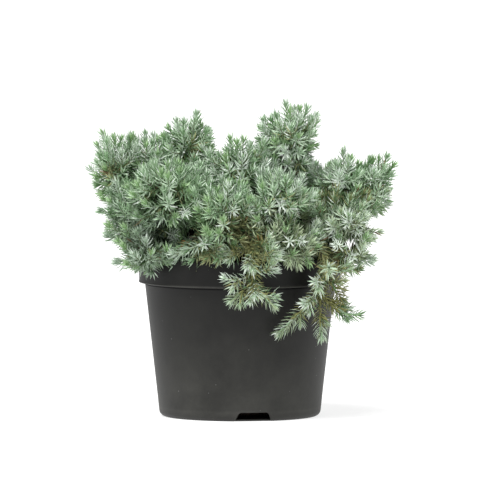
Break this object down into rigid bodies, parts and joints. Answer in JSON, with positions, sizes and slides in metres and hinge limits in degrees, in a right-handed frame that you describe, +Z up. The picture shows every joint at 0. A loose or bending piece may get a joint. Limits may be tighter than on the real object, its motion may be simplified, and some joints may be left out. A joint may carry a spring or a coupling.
{
  "type": "potted juniper",
  "caption": "Low spreading juniper with dense grey-green needle sprays on a short trunk, in a round black tapered nursery pot.",
  "frame": {"origin": "centre of the pot's flat underside", "axes": "+Z up along the pot's axis, -Y the plant's front, +X its right side seen from the front"},
  "size_m": [0.2962, 0.2581, 0.3026],
  "materials": {
    "pot_plastic": "matte black moulded plastic",
    "soil": "dark moist peat and bark compost",
    "bark": "rough brown bark",
    "needles": "soft matte grey-green needles"
  },
  "bodies": {
    "root": {"back_centre": "needles", "back_left": "needles", "back_low": "needles", "back_low_left": "needles", "back_low_right": "needles", "back_mid_left": "needles", "back_mid_right": "needles", "back_right": "needles", "bough_back": "bark", "bough_back_left": "bark", "bough_back_right": "bark", "bough_centre": "bark", "bough_front": "bark", "bough_left": "bark", "bough_left_high": "bark", "bough_right": "bark", "bough_right_front": "bark", "bough_right_high": "bark", "centre_back": "needles", "centre_front": "needles", "centre_low": "needles", "centre_mid": "needles", "front_hanging": "needles", "inner_back": "needles", "inner_left": "needles", "inner_right": "needles", "left_crest": "needles", "left_front": "needles", "left_low": "needles", "left_outer": "needles", "left_rim": "needles", "left_upper": "needles", "pot": "pot_plastic", "right_arm": "needles", "right_crest": "needles", "right_front": "needles", "right_hanging": "needles", "right_low": "needles", "right_outer": "needles", "right_rim": "needles", "right_upper": "needles", "side_left": "needles", "side_right": "needles", "soil": "soil", "trunk": "bark"}
  },
  "joints": []
}
